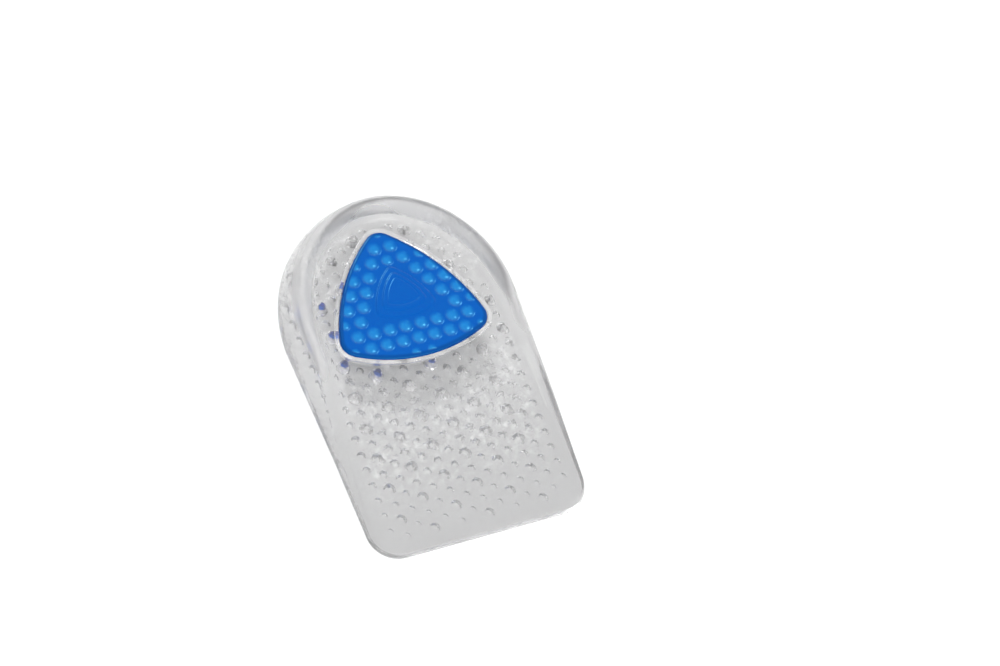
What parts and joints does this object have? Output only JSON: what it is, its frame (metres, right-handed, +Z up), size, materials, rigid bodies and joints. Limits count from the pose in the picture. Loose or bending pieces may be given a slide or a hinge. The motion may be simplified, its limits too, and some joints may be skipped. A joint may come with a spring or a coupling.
{
  "type": "heel cup",
  "caption": "Clear soft gel heel cup with a low wall round the heel, tapering to a thin straight front, and a blue dimpled gel pad set in the heel seat.",
  "frame": {"origin": "on the underside, at the middle of the cup's length and width", "axes": "+X across the cup, +Y to the back of the heel, +Z up"},
  "size_m": [0.071, 0.107, 0.016],
  "materials": {
    "clear_gel": "clear, glossy",
    "blue_gel": "smooth, slightly translucent"
  },
  "bodies": {
    "root": {"cup_shell": "clear_gel", "heel_pad": "blue_gel"}
  },
  "joints": []
}
